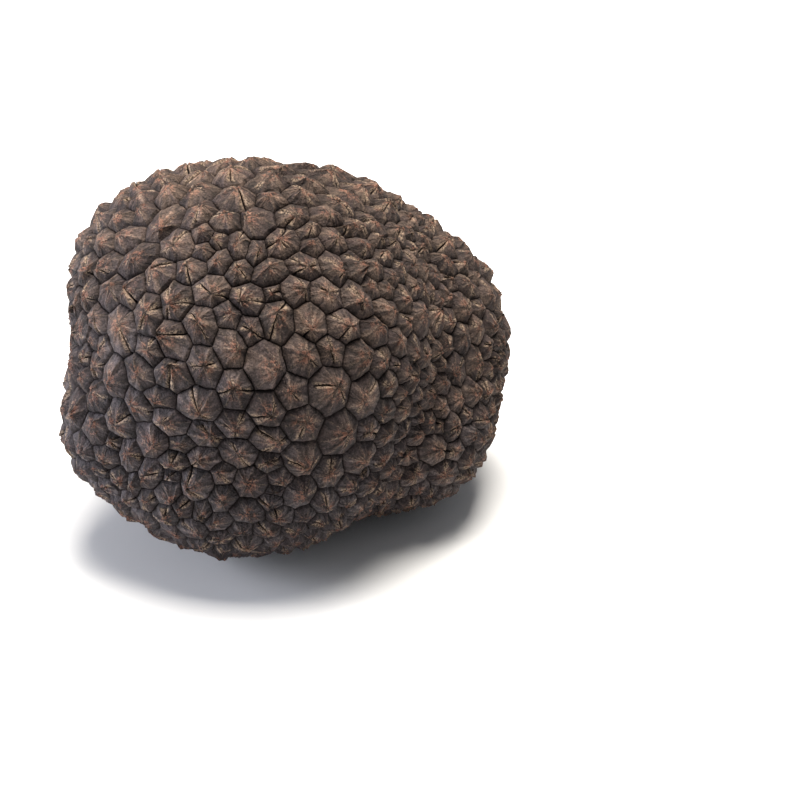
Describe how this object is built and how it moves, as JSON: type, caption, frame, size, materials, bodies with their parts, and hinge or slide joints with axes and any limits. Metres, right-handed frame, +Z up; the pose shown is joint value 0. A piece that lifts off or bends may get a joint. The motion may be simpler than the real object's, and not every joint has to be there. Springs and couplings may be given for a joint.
{
  "type": "black truffle",
  "caption": "Whole black truffle as dug: a rounded lump with a smaller lobe behind, its dark skin raised in polygonal warts, resting on a small flat spot.",
  "frame": {"origin": "on the surface that the truffle rests on, below the centre of its box", "axes": "+Z up, +X along the broad side from the main dome towards the smaller rear lobe, +Y from front to back"},
  "size_m": [0.075, 0.066, 0.0633],
  "materials": {
    "truffle_skin": "dry, matt and rough"
  },
  "bodies": {
    "root": {"truffle": "truffle_skin"}
  },
  "joints": []
}
